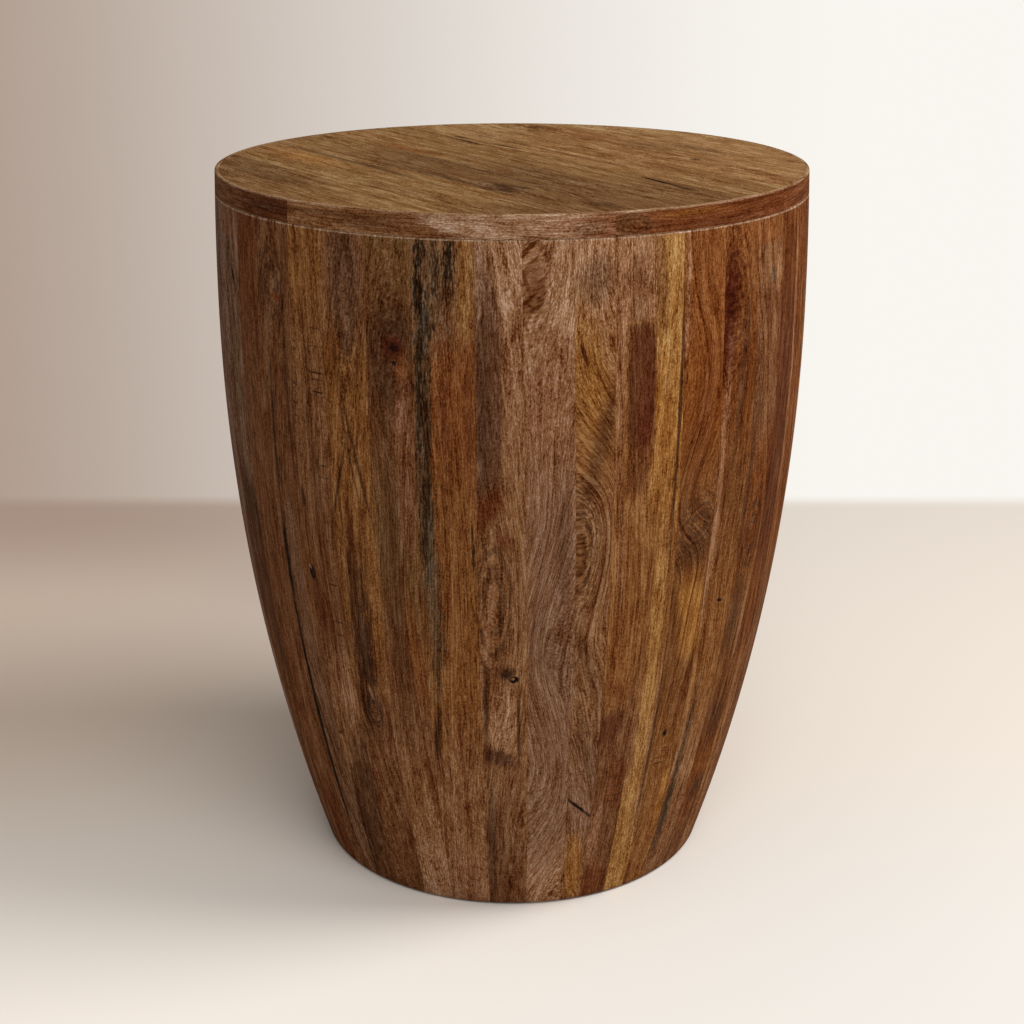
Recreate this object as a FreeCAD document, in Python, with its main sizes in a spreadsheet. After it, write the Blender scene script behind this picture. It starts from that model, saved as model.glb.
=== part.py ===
import FreeCAD, Part
import math
import operator
import os
from types import SimpleNamespace

import Sketcher

# Round end table: a hollow bellied drum of upright staves under a flush round top.
# Millimetres, +Z up. The origin is on the floor, on the drum's axis. The front is -Y.
# Azimuths round the drum are degrees from the front, turning towards +X.

DOCUMENT_NAME = "round_end_table"
PARTS_FOLDER = "parts"

# Driving sizes: cell alias, value, meaning.
SIZES = (
    ("overall_height", 559, "floor to the top surface"),
    ("belly_radius", 229, "widest radius of the turned side"),
    ("belly_height", 455.5, "height of the widest place above the floor"),
    ("foot_draw_in", 70.1, "how far the turned side comes in from the belly to the foot"),
    ("head_draw_in", 2.2, "how far it comes in from the belly to the top surface"),
    ("top_thickness", 16.5, "thickness of the top"),
    ("groove_bevel", 0.8, "bevel on the staves' heads, which draws the line under the top"),
    ("arris_bevel", 0.8, "bevel on the top's upper edge"),
    ("foot_wall", 24, "stave thickness at the foot"),
    ("head_wall", 24, "stave thickness under the top"),
    ("strip_thickness", 3, "thickness of the strips round the top's edge"),
    ("glue_line", 0.1, "glue between the strips and the boards, and between two strips"),
    ("block_width", 24, "corner block, along the wall"),
    ("block_height", 40, "corner block, down the wall"),
    ("block_depth", 32, "corner block, in from the wall under the top"),
    ("glide_rise", 2, "how far the glides lift the foot off the floor"),
    ("glide_radius", 9, "plastic glide"),
    ("glide_bevel", 0.7, "bevel on the glide's lower edge"),
    ("glide_inset", 12, "glide axis, in from the foot's outer edge"),
)

# Each stave's width round the drum, as a share of their sum. The first stave starts at
# FIRST_SEAM_AZIMUTH, and the others follow towards the right.
STAVE_SHARES = (
    9.6, 6.8, 10.0, 8.4, 9.1, 8.4, 10.9, 9.1, 9.1, 6.9, 7.0, 6.6, 7.5, 9.3,
    9.4, 6.8, 9.5, 7.1, 9.3, 6.7, 9.4, 9.2, 6.6, 9.3, 9.1, 9.5, 6.9, 9.2,
    9.4, 9.1, 9.3, 7.0, 9.2, 9.4, 9.1, 6.8, 9.5, 9.2, 9.3, 7.2, 9.4, 9.4,
)
FIRST_SEAM_AZIMUTH = -69.5

# The staves, counted from one, whose backs carry a corner block, and whose feet carry a glide.
BLOCK_STAVE_NUMBERS = (1, 7, 15, 23, 29, 37)
GLIDE_STAVE_NUMBERS = (3, 13, 24, 34)

# Where the rim strips meet, the top boards' widths as shares of the glued-up panel's width, and
# the angle of their grain from +X.
JOINT_AZIMUTHS = (-42.9, 17.6, 58.5, 150.0, 235.0)
BOARD_SHARES = (0.145, 0.158, 0.114, 0.092, 0.090, 0.115, 0.138, 0.148)
BOARD_ANGLE = -56.0

FULL_TURN = 360.0
X_AXIS_AZIMUTH = 90.0
DEGREES_IN_RADIAN = math.degrees(1)

AXIS = FreeCAD.Vector(0, 0, 1)
SIDEWAYS = FreeCAD.Vector(0, 1, 0)

# The sketcher's numbers for a sketch's origin and for the two ends of an edge.
ORIGIN = (-1, 1)
START, END = 1, 2

OPERATIONS = {
    "+": operator.add,
    "-": operator.sub,
    "*": operator.mul,
    "/": operator.truediv,
    "^": operator.pow,
}


# A number together with the sheet formula that gives it.
class Size:
    def __init__(self, value, formula):
        self.value = value
        self.formula = formula

    def __add__(self, other):
        return combined(self, "+", other)

    def __sub__(self, other):
        return combined(self, "-", other)

    def __rsub__(self, other):
        return combined(other, "-", self)

    def __mul__(self, other):
        return combined(self, "*", other)

    def __rmul__(self, other):
        return combined(other, "*", self)

    def __truediv__(self, other):
        return combined(self, "/", other)

    def __pow__(self, power):
        return combined(self, "^", power)


def as_size(number):
    if isinstance(number, Size):
        return number
    return Size(float(number), repr(float(number)))


def combined(first, sign, second):
    first = as_size(first)
    second = as_size(second)
    value = OPERATIONS[sign](first.value, second.value)
    return Size(value, f"({first.formula} {sign} {second.formula})")


def square_root(size):
    return Size(math.sqrt(size.value), f"sqrt({size.formula})")


def bind(thing, name, size):
    thing.setExpression(name, as_size(size).formula)


def make_sheet(document):
    cells = document.addObject("Spreadsheet::Sheet", "sizes")
    sheet = SimpleNamespace()
    for row, (alias, value, meaning) in enumerate(SIZES, start=1):
        cells.set(f"A{row}", meaning)
        cells.set(f"B{row}", str(value))
        cells.setAlias(f"B{row}", alias)
        setattr(sheet, alias, Size(float(value), f"{cells.Name}.{alias}"))
    document.recompute()
    return sheet


# Heights and radii that follow from the driving sizes.
def head_height(sheet):
    return sheet.overall_height - sheet.top_thickness


def foot_radius(sheet):
    return sheet.belly_radius - sheet.foot_draw_in


def top_radius(sheet):
    return sheet.belly_radius - sheet.head_draw_in


def arc_radius(rise, drop):
    return (rise**2 + drop**2) / (2 * drop)


# The turned side is two arcs that meet upright at the belly.
def lower_arc(sheet):
    return arc_radius(sheet.belly_height - sheet.glide_rise, sheet.foot_draw_in)


def upper_arc(sheet):
    return arc_radius(sheet.overall_height - sheet.belly_height, sheet.head_draw_in)


def turned_radius(sheet, height):
    arc = upper_arc(sheet)
    rise = height - sheet.belly_height
    return sheet.belly_radius - arc + square_root(arc**2 - rise**2)


# The staves' flat backs run straight from the foot to the head.
def back_at_foot(sheet):
    return foot_radius(sheet) - sheet.foot_wall


def back_at_head(sheet):
    return top_radius(sheet) - sheet.head_wall


def back_slope(sheet):
    return (back_at_head(sheet) - back_at_foot(sheet)) / (head_height(sheet) - sheet.glide_rise)


def strip_inner_radius(sheet):
    return top_radius(sheet) - sheet.strip_thickness


def panel_radius(sheet):
    return strip_inner_radius(sheet) - sheet.glue_line


# Turns local +X to an azimuth, and sets a piece off from the drum's axis that way.
def place_round(azimuth, distance, height):
    turn = FreeCAD.Rotation(AXIS, azimuth - X_AXIS_AZIMUTH)
    base = turn.multVec(FreeCAD.Vector(distance, 0, height))
    return FreeCAD.Placement(base, turn)


def stave_angle(number):
    return FULL_TURN * STAVE_SHARES[number - 1] / sum(STAVE_SHARES)


def stave_azimuth(number):
    before = sum(stave_angle(earlier) for earlier in range(1, number))
    return FIRST_SEAM_AZIMUTH + before + stave_angle(number) / 2


# Bodies and sketches.
def new_body(document, name, placement):
    body = document.addObject("PartDesign::Body", name)
    body.Label = name
    body.Placement = placement
    return body


def origin_plane(body, role):
    for feature in body.Origin.OriginFeatures:
        if feature.Role == role:
            return feature
    raise ValueError(f"{body.Label} has no origin plane {role}")


def new_sketch(body, name, role):
    sketch = body.newObject("Sketcher::SketchObject", name)
    sketch.AttachmentSupport = (origin_plane(body, role), [""])
    sketch.MapMode = "FlatFace"
    return sketch


def hold(sketch, kind, places, size):
    size = as_size(size)
    index = sketch.addConstraint(Sketcher.Constraint(kind, *places, size.value))
    bind(sketch, f"Constraints[{index}]", size)


# The arc of a radius from one point to another, turning left, with its centre on that side.
def left_arc(here, there, radius):
    chord = there - here
    leftwards = AXIS.cross(chord).normalize()
    reach = math.sqrt(radius**2 - (chord.Length / 2) ** 2)
    centre = here + chord / 2 + leftwards * reach
    circle = Part.Circle(centre, AXIS, radius)
    return Part.ArcOfCircle(circle, circle.parameter(here), circle.parameter(there))


# A closed outline through corners, each (x, y). Edges are straight, apart from those that leave
# a corner named in arcs, which gives their radius.
def draw_outline(sketch, corners, arcs):
    points = [FreeCAD.Vector(as_size(x).value, as_size(y).value, 0) for x, y in corners]
    following = [*range(1, len(points)), 0]
    for index, after in enumerate(following):
        if index in arcs:
            sketch.addGeometry(left_arc(points[index], points[after], arcs[index].value))
        else:
            sketch.addGeometry(Part.LineSegment(points[index], points[after]))
    for index, after in enumerate(following):
        sketch.addConstraint(Sketcher.Constraint("Coincident", index, END, after, START))
    for index, (x, y) in enumerate(corners):
        hold(sketch, "DistanceX", (*ORIGIN, index, START), x)
        hold(sketch, "DistanceY", (*ORIGIN, index, START), y)
    for index, radius in arcs.items():
        hold(sketch, "Radius", (index,), radius)


# A solid turned about the body's Z axis, centred on its X axis.
def turn_outline(body, corners, arcs, angle):
    sketch = new_sketch(body, f"{body.Name}_outline", "XZ_Plane")
    draw_outline(sketch, corners, arcs)
    turned = body.newObject("PartDesign::Revolution", f"{body.Name}_turned")
    turned.Profile = sketch
    turned.ReferenceAxis = (sketch, ["V_Axis"])
    turned.Midplane = True
    bind(turned, "Angle", angle)


# Staves: a turned sector of the drum with a flat back.
def stave_outline(sheet):
    foot = sheet.glide_rise
    head = head_height(sheet)
    bevel = head - sheet.groove_bevel
    corners = (
        (0, foot),
        (foot_radius(sheet), foot),
        (sheet.belly_radius, sheet.belly_height),
        (turned_radius(sheet, bevel), bevel),
        (turned_radius(sheet, head) - sheet.groove_bevel, head),
        (0, head),
    )
    arcs = {1: lower_arc(sheet), 2: upper_arc(sheet)}
    return corners, arcs


# Cuts away what lies inside the back, a flat that leans out from the foot to the head.
def plane_back(body, sheet):
    slope = math.atan(back_slope(sheet).value)
    along = FreeCAD.Vector(math.sin(slope), 0, math.cos(slope))
    through = SIDEWAYS.cross(along)
    reach = sheet.belly_radius
    height = sheet.overall_height + 2 * reach
    foot = FreeCAD.Vector(back_at_foot(sheet).value, 0, sheet.glide_rise.value)
    corner = foot - (through + SIDEWAYS + along) * reach.value
    box = body.newObject("PartDesign::SubtractiveBox", f"{body.Name}_back")
    bind(box, "Length", reach)
    bind(box, "Width", 2 * reach)
    bind(box, "Height", height)
    turn = FreeCAD.Rotation(through, SIDEWAYS, along, "XYZ")
    box.Placement = FreeCAD.Placement(corner, turn)


def make_stave(document, sheet, number):
    name = f"stave_{number:02d}"
    body = new_body(document, name, place_round(stave_azimuth(number), 0, 0))
    corners, arcs = stave_outline(sheet)
    turn_outline(body, corners, arcs, stave_angle(number))
    plane_back(body, sheet)
    return body


def make_staves(document, sheet):
    numbers = range(1, len(STAVE_SHARES) + 1)
    return [make_stave(document, sheet, number) for number in numbers]


# Top: boards glued edge to edge and cut round.
def make_panel_round(document, sheet):
    panel = document.addObject("Part::Cylinder", "panel_round")
    bind(panel, "Radius", panel_radius(sheet))
    bind(panel, "Height", sheet.top_thickness)
    bind(panel, "Placement.Base.z", head_height(sheet))
    return panel


def make_plank(document, sheet, number, start_share, width_share):
    plank = document.addObject("Part::Box", f"plank_{number}")
    radius = panel_radius(sheet)
    bind(plank, "Length", 2 * radius)
    bind(plank, "Width", 2 * width_share * radius)
    bind(plank, "Height", sheet.top_thickness)
    turn = FreeCAD.Rotation(AXIS, BOARD_ANGLE)
    start = (2 * start_share - 1) * radius.value
    corner = FreeCAD.Vector(-radius.value, start, head_height(sheet).value)
    plank.Placement = FreeCAD.Placement(turn.multVec(corner), turn)
    return plank


def make_boards(document, sheet):
    panel = make_panel_round(document, sheet)
    boards = []
    start_share = 0.0
    for number, width_share in enumerate(BOARD_SHARES, start=1):
        board = document.addObject("Part::Common", f"top_board_{number}")
        board.Label = f"top_board_{number}"
        board.Base = make_plank(document, sheet, number, start_share, width_share)
        board.Tool = panel
        boards.append(board)
        start_share += width_share
    return boards


# Rim strips: bent round the boards, and turned with the staves. They are so low that their
# outer edge is straight.
def strip_outline(sheet):
    head = head_height(sheet)
    surface = sheet.overall_height
    arris = surface - sheet.arris_bevel
    inner = strip_inner_radius(sheet)
    return (
        (inner, head),
        (turned_radius(sheet, head), head),
        (turned_radius(sheet, arris), arris),
        (top_radius(sheet) - sheet.arris_bevel, surface),
        (inner, surface),
    )


def make_strips(document, sheet):
    strips = []
    ends = (*JOINT_AZIMUTHS[1:], JOINT_AZIMUTHS[0] + FULL_TURN)
    gap = sheet.glue_line / top_radius(sheet) * DEGREES_IN_RADIAN
    for number, (start, end) in enumerate(zip(JOINT_AZIMUTHS, ends), start=1):
        placement = place_round((start + end) / 2, 0, 0)
        body = new_body(document, f"rim_strip_{number}", placement)
        turn_outline(body, strip_outline(sheet), {}, (end - start) - gap)
        strips.append(body)
    return strips


# Corner blocks, glued to the staves' backs and to the boards over them.
def make_block(document, sheet, number):
    name = f"block_{number:02d}"
    body = new_body(document, name, place_round(stave_azimuth(number), 0, 0))
    head = head_height(sheet)
    low = head - sheet.block_height
    outer = back_at_head(sheet)
    inner = outer - sheet.block_depth
    outer_low = outer - back_slope(sheet) * sheet.block_height
    corners = ((inner, low), (outer_low, low), (outer, head), (inner, head))
    sketch = new_sketch(body, f"{body.Name}_outline", "XZ_Plane")
    draw_outline(sketch, corners, {})
    pad = body.newObject("PartDesign::Pad", f"{body.Name}_pad")
    pad.Profile = sketch
    pad.Midplane = True
    bind(pad, "Length", sheet.block_width)
    return body


# Glides, stuck under the foot.
def make_glide(document, sheet, number):
    distance = foot_radius(sheet).value - sheet.glide_inset.value
    placement = place_round(stave_azimuth(number), distance, 0)
    body = new_body(document, f"glide_{number:02d}", placement)
    corners = (
        (0, 0),
        (sheet.glide_radius - sheet.glide_bevel, 0),
        (sheet.glide_radius, sheet.glide_bevel),
        (sheet.glide_radius, sheet.glide_rise),
        (0, sheet.glide_rise),
    )
    turn_outline(body, corners, {}, FULL_TURN)
    return body


# One node of equal pieces, made by the same function at several staves.
def make_group(document, sheet, name, make_one, numbers):
    group = document.addObject("Part::Compound", name)
    group.Label = name
    group.Links = [make_one(document, sheet, number) for number in numbers]
    return group


def make_table(document, sheet):
    return [
        *make_staves(document, sheet),
        *make_boards(document, sheet),
        *make_strips(document, sheet),
        make_group(document, sheet, "corner_blocks", make_block, BLOCK_STAVE_NUMBERS),
        make_group(document, sheet, "floor_glides", make_glide, GLIDE_STAVE_NUMBERS),
    ]


# A failed feature, a bad shape or a cut that removes nothing stops the build.
def check_document(document, subparts):
    for thing in document.Objects:
        if "Invalid" in thing.State or "Error" in thing.State:
            raise RuntimeError(f"{thing.Name} failed: {thing.State}")
        if thing.TypeId == "PartDesign::SubtractiveBox":
            if thing.Shape.Volume >= thing.BaseFeature.Shape.Volume:
                raise RuntimeError(f"{thing.Name} cuts nothing")
    for thing in subparts:
        if thing.Shape.isNull() or not thing.Shape.isValid():
            raise RuntimeError(f"{thing.Label} has no valid shape")


def write_parts(subparts):
    os.makedirs(PARTS_FOLDER, exist_ok=True)
    for thing in subparts:
        thing.Shape.exportStep(f"{PARTS_FOLDER}/{thing.Label}.step")


document = FreeCAD.newDocument(DOCUMENT_NAME)
sheet = make_sheet(document)
subparts = make_table(document, sheet)
document.recompute()
check_document(document, subparts)
write_parts(subparts)
print(f"{len(subparts)} sub-parts written")
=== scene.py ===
import bpy
from collections import namedtuple
from math import atan, cos, degrees, pi, radians, sin, sqrt, tan
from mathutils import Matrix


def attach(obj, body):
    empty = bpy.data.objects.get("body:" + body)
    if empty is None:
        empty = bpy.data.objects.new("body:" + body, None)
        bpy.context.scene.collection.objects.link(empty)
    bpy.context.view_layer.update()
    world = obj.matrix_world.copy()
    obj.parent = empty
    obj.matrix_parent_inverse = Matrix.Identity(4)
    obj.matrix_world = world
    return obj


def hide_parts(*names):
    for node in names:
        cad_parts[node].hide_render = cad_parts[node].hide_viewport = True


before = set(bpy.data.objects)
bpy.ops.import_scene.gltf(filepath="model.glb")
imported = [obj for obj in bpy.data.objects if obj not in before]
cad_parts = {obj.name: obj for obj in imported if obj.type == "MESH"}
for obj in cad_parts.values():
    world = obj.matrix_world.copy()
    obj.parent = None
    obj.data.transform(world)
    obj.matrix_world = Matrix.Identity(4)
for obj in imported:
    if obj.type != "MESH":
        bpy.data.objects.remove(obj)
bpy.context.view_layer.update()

# Main forms, in metres
FOOT_Z = 0.002
HEAD_Z = 0.5425
TOP_Z = 0.559
BELLY_Z = 0.4555
BELLY_RADIUS = 0.229
FOOT_RADIUS = 0.1589
TOP_RADIUS = 0.2268
RIM_INNER_RADIUS = 0.2238
BACK_AT_FOOT = 0.1349
BACK_AT_HEAD = 0.2028

# Small forms, in metres
GROOVE = 0.0008
ARRIS = 0.0008
FOOT_EASE = 0.0006
SEAM_EASE = 0.00014
STRIP_END_EASE = 0.00012
STRIP_LOWER_EASE = 0.0002
STRIP_INNER_EASE = 0.00015
BLOCK_EASE = 0.0006
GLIDE_EASE = 0.0002

# How finely the meshes are cut: the staves' even levels keep clear of the foot and the head
EVEN_ABOVE_FOOT = 0.006
EVEN_BELOW_HEAD = 0.004
STAVE_STEPS_UP = 40
STAVE_STEPS_ACROSS = 8
ARRIS_STEPS = 4
STRIP_STEP = radians(1.25)
SHARP_FROM = radians(32)
BEVEL_FROM = radians(40)

BOARD_ANGLE = radians(-56)
STRIP_END_GAP = 0.00003

# Azimuths in degrees from the front toward the right: the rim's butt joints, the seams between the staves
# at their heads, and the feet of those seams that drift
RIM_JOINTS = (-42.9, 17.6, 58.5, 150.0, 235.0, 317.1)
SEAM_HEADS = (
    -69.5, -59.9, -53.1, -42.9, -34.7, -25.8, -17.2, -6.3, 1.6, 10.2, 17.5, 25.3, 30.8, 40.2, 49.4, 58.5,
    65.8, 75.2, 82.6, 91.3, 98.0, 107.4, 116.6, 123.2, 132.5, 141.6, 151.1, 158.0, 167.2, 176.6, 185.7,
    195.0, 202.0, 211.2, 220.6, 229.7, 236.5, 246.0, 255.2, 264.5, 271.7, 281.1, 290.5)
DRIFTING_FEET = {3: -43.0, 5: -25.7, 8: 4.0, 9: 13.6, 10: 19.6, 11: 27.2, 12: 33.8, 13: 41.4, 14: 50.0,
                 16: 64.2, 17: 75.1, 18: 82.2}
STAVE_COUNT = len(SEAM_HEADS) - 1


def arc_radius(rise, drop):
    return (rise ** 2 + drop ** 2) / (2 * drop)


LOWER_ARC = arc_radius(BELLY_Z - FOOT_Z, BELLY_RADIUS - FOOT_RADIUS)
UPPER_ARC = arc_radius(TOP_Z - BELLY_Z, BELLY_RADIUS - TOP_RADIUS)
LEAN = atan((BACK_AT_HEAD - BACK_AT_FOOT) / (HEAD_Z - FOOT_Z))


def turned_radius(z):
    """The drum's outside: two arcs that meet at the belly."""
    arc = LOWER_ARC if z < BELLY_Z else UPPER_ARC
    return BELLY_RADIUS - arc + sqrt(arc ** 2 - (z - BELLY_Z) ** 2)


def back_distance(z):
    """How far the staves' flat backs stand from the drum's axis."""
    return BACK_AT_FOOT + (z - FOOT_Z) * tan(LEAN)


def seam_ends(index):
    """A seam's azimuth at the head and at the foot, in degrees."""
    head = SEAM_HEADS[index]
    return head, DRIFTING_FEET.get(index, head)


def seam_azimuth(index, z):
    head, foot = seam_ends(index)
    return radians(foot + (head - foot) * (z - FOOT_Z) / (HEAD_Z - FOOT_Z))


def stave_middle(index):
    """A stave's own direction: the middle of its head and foot."""
    return radians((sum(seam_ends(index)) + sum(seam_ends(index + 1))) / 4)


def around(azimuth, radius, z):
    return (radius * sin(azimuth), -radius * cos(azimuth), z)


def plank_point(index, azimuth, radius, z):
    """A point of a stave in its plank: across, out from the flat back, and along."""
    turn = azimuth - stave_middle(index)
    out = radius * cos(turn) - back_distance(z)
    along = (z - FOOT_Z) / cos(LEAN) + out * sin(LEAN)
    return (radius * sin(turn), out * cos(LEAN), along)


def new_object(name, data):
    thing = bpy.data.objects.new(name, data)
    bpy.context.scene.collection.objects.link(thing)
    return thing


def add_grain(mesh, grain):
    """Keeps each point's place in its own plank for the wood materials."""
    attribute = mesh.attributes.new("grain", "FLOAT_VECTOR", "POINT")
    for point, place in zip(attribute.data, grain):
        point.vector = place


def skin_rings(rings):
    """Points and faces between equal closed rings of points, with both ends closed."""
    count = len(rings[0])
    points = [point for ring in rings for point in ring]
    faces = []
    for level in range(len(rings) - 1):
        low = level * count
        for step in range(count):
            following = (step + 1) % count
            faces.append((low + step, low + following, low + count + following, low + count + step))
    faces.append(tuple(reversed(range(count))))
    last = (len(rings) - 1) * count
    faces.append(tuple(range(last, last + count)))
    return points, faces


def new_piece(name, rings, grain, node):
    """A smooth mesh with sharp arrises that stands for one CAD node."""
    points, faces = skin_rings(rings)
    mesh = bpy.data.meshes.new(name)
    mesh.from_pydata(points, [], faces)
    mesh.validate()
    mesh.update()
    add_grain(mesh, grain)
    mesh.shade_smooth()
    mesh.set_sharp_from_angle(angle=SHARP_FROM)
    piece = new_object(name, mesh)
    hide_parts(node)
    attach(piece, "root")
    return piece


def stave_levels():
    """Heights and insets from the foot's eased edge to the groove at the head."""
    levels = [(FOOT_Z, FOOT_EASE), (FOOT_Z + FOOT_EASE * 0.3, FOOT_EASE * 0.3), (FOOT_Z + FOOT_EASE, 0.0)]
    low = FOOT_Z + EVEN_ABOVE_FOOT
    high = HEAD_Z - EVEN_BELOW_HEAD
    for step in range(STAVE_STEPS_UP + 1):
        levels.append((low + (high - low) * step / STAVE_STEPS_UP, 0.0))
    return levels + [(HEAD_Z - GROOVE, 0.0), (HEAD_Z, GROOVE)]


def stave_ring(index, z, inset):
    """One level of a stave: the turned face with its two eased seams, and the flat back."""
    radius = turned_radius(z) - inset
    left = seam_azimuth(index, z)
    right = seam_azimuth(index + 1, z)
    ease = SEAM_EASE / radius
    ring = [(left, radius - SEAM_EASE)]
    for step in range(STAVE_STEPS_ACROSS + 1):
        ring.append((left + ease + (right - left - 2 * ease) * step / STAVE_STEPS_ACROSS, radius))
    ring.append((right, radius - SEAM_EASE))
    middle = stave_middle(index)
    for azimuth in (right, left):
        ring.append((azimuth, back_distance(z) / cos(azimuth - middle)))
    return ring


def make_stave(index):
    rings = []
    grain = []
    for z, inset in stave_levels():
        ring = stave_ring(index, z, inset)
        rings.append([around(azimuth, radius, z) for azimuth, radius in ring])
        grain += [plank_point(index, azimuth, radius, z) for azimuth, radius in ring]
    number = "%02d" % (index + 1)
    return new_piece("turned_stave_" + number, rings, grain, "stave_" + number)


def strip_ring(inset):
    """The bent strip's section as radius and height, with its rounded upper arris."""
    skin = [(STRIP_LOWER_EASE, HEAD_Z), (0.0, HEAD_Z + STRIP_LOWER_EASE)]
    for step in range(ARRIS_STEPS + 1):
        turn = radians(90 * step / ARRIS_STEPS)
        skin.append((ARRIS * (1 - cos(turn)), TOP_Z - ARRIS + ARRIS * sin(turn)))
    ring = [(turned_radius(z) - back - inset, z) for back, z in skin]
    ring.append((RIM_INNER_RADIUS + STRIP_INNER_EASE, TOP_Z))
    ring.append((RIM_INNER_RADIUS, TOP_Z - STRIP_INNER_EASE))
    ring.append((RIM_INNER_RADIUS, HEAD_Z))
    return list(reversed(ring))


def make_strip(index):
    """A bent strip of the rim, from one butt joint to the next."""
    start, stop = (radians(azimuth) for azimuth in RIM_JOINTS[index:index + 2])
    ease = STRIP_END_EASE / BELLY_RADIUS
    count = int((stop - start) / STRIP_STEP)
    stations = [(start + STRIP_END_GAP, STRIP_END_EASE), (start + ease, 0.0)]
    stations += [(start + (stop - start) * step / count, 0.0) for step in range(1, count)]
    stations += [(stop - ease, 0.0), (stop - STRIP_END_GAP, STRIP_END_EASE)]
    rings = []
    grain = []
    for azimuth, inset in stations:
        ring = strip_ring(inset)
        rings.append([around(azimuth, radius, z) for radius, z in ring])
        for radius, z in ring:
            grain.append((z - HEAD_Z, radius - RIM_INNER_RADIUS, (azimuth - start) * TOP_RADIUS))
    number = str(index + 1)
    return new_piece("bent_strip_" + number, rings, grain, "rim_strip_" + number)


def board_with_grain(index):
    """A CAD board keeps its own mesh and gets its place along the boards' grain."""
    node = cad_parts["top_board_" + str(index + 1)]
    cosine = cos(BOARD_ANGLE)
    sine = sin(BOARD_ANGLE)
    grain = []
    for vertex in node.data.vertices:
        x, y, z = vertex.co
        grain.append((-x * sine + y * cosine, TOP_Z - z, x * cosine + y * sine))
    add_grain(node.data, grain)
    return node


# Fields: what a node puts out over a surface. On wood and plastic their lengths are in mm

MM = 1000
SEED_SHIFTS = (17.3, 5.1, 29.7)
LINES_PER_BAND = 3.7


class Field:
    """One output of a node. Arithmetic on number fields adds maths nodes to their tree."""

    def __init__(self, tree, socket):
        self.tree = tree
        self.socket = socket

    def __add__(self, other):
        return maths("ADD", self, other)

    def __sub__(self, other):
        return maths("SUBTRACT", self, other)

    def __mul__(self, other):
        return maths("MULTIPLY", self, other)

    def __truediv__(self, other):
        return maths("DIVIDE", self, other)

    def __pow__(self, other):
        return maths("POWER", self, other)

    def __abs__(self):
        return maths("ABSOLUTE", self)


def feed(node, values):
    """Links fields to a node's inputs, or sets plain values there."""
    for name, value in values.items():
        if isinstance(value, Field):
            value.tree.links.new(value.socket, node.inputs[name])
        else:
            node.inputs[name].default_value = value


def source(tree, kind, values, output=0, **settings):
    """An output of a new node in a tree."""
    node = tree.nodes.new("ShaderNode" + kind)
    for name, value in settings.items():
        setattr(node, name, value)
    feed(node, values)
    return Field(tree, node.outputs[output])


def derived(kind, values, output=0, **settings):
    """An output of a new node in the tree of the fields that it takes in."""
    tree = next(value.tree for value in values.values() if isinstance(value, Field))
    return source(tree, kind, values, output, **settings)


def maths(operation, *values):
    return derived("Math", dict(enumerate(values)), operation=operation)


def stretch(place, scale, shift=(0, 0, 0)):
    """A place times a scale for each direction, plus a shift."""
    return derived("VectorMath", {0: place, 1: scale, 2: shift}, operation="MULTIPLY_ADD")


def move(place, shift):
    return stretch(place, (1, 1, 1), shift)


def split(place):
    """A place's three parts."""
    node = place.tree.nodes.new("ShaderNodeSeparateXYZ")
    feed(node, {0: place})
    return [Field(place.tree, socket) for socket in node.outputs]


def combine(*parts):
    """A place from up to three parts; those left out are 0."""
    return derived("CombineXYZ", dict(enumerate(parts)))


def noise(place, scale, shift=(0, 0, 0), detail=2.0, roughness=0.5, output="Fac"):
    """Noise over a place. Each direction's scale is 1 over the size of the patches."""
    place = stretch(place, scale, shift)
    values = {"Vector": place, "Scale": 1.0, "Detail": detail, "Roughness": roughness}
    return derived("TexNoise", values, output)


def line_noise(value, detail=2.0, roughness=0.6):
    """Noise over one number."""
    values = {"W": value, "Scale": 1.0, "Detail": detail, "Roughness": roughness}
    return derived("TexNoise", values, "Fac", noise_dimensions="1D")


def ramp(value, low, high, to_low=0.0, to_high=1.0):
    """A smooth step from one level to the other, as a field goes from low to high."""
    values = dict(enumerate((value, low, high, to_low, to_high)))
    return derived("MapRange", values, interpolation_type="SMOOTHSTEP")


def fade(value, low, high):
    """A smooth step down from 1 to 0."""
    return ramp(value, low, high, 1.0, 0.0)


def blend(factor, first, second, kind="MIX"):
    """The first colour where the factor is 0 and the second where it is 1."""
    return derived("Mix", {0: factor, 6: first, 7: second}, 2, data_type="RGBA", blend_type=kind)


def tint(colour, shares):
    """A colour times a share for red, green and blue."""
    return blend(1.0, colour, (*shares, 1.0), "MULTIPLY")


def relief(height, strength, distance):
    """Bumps that follow a height from 0 to 1, as deep as the distance in metres."""
    return derived("Bump", {"Strength": strength, "Distance": distance, "Height": height})


def linear(rgb):
    """A colour as the screen shows it, 0 to 255, as a linear colour."""
    shares = [value / 255 for value in rgb]
    return tuple(s / 12.92 if s < 0.04045 else ((s + 0.055) / 1.055) ** 2.4 for s in shares) + (1.0,)


def new_material(name):
    """A material, its node tree and its shader."""
    material = bpy.data.materials.new(name)
    material.use_nodes = True
    tree = material.node_tree
    return material, tree, tree.nodes["Principled BSDF"]


def open_group(name, labels):
    """A new node group that takes a place and named numbers: its tree, and its inputs as fields."""
    tree = bpy.data.node_groups.new(name, "ShaderNodeTree")
    tree.interface.new_socket("Place", in_out="INPUT", socket_type="NodeSocketVector")
    for label in labels:
        tree.interface.new_socket(label, in_out="INPUT", socket_type="NodeSocketFloat")
    given = tree.nodes.new("NodeGroupInput")
    return tree, {label: Field(tree, given.outputs[label]) for label in ("Place", *labels)}


def close_group(tree, results):
    """Gives a node group its named outputs."""
    for label in results:
        tree.interface.new_socket(label, in_out="OUTPUT", socket_type="NodeSocketFloat")
    feed(tree.nodes.new("NodeGroupOutput"), results)
    return tree


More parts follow.
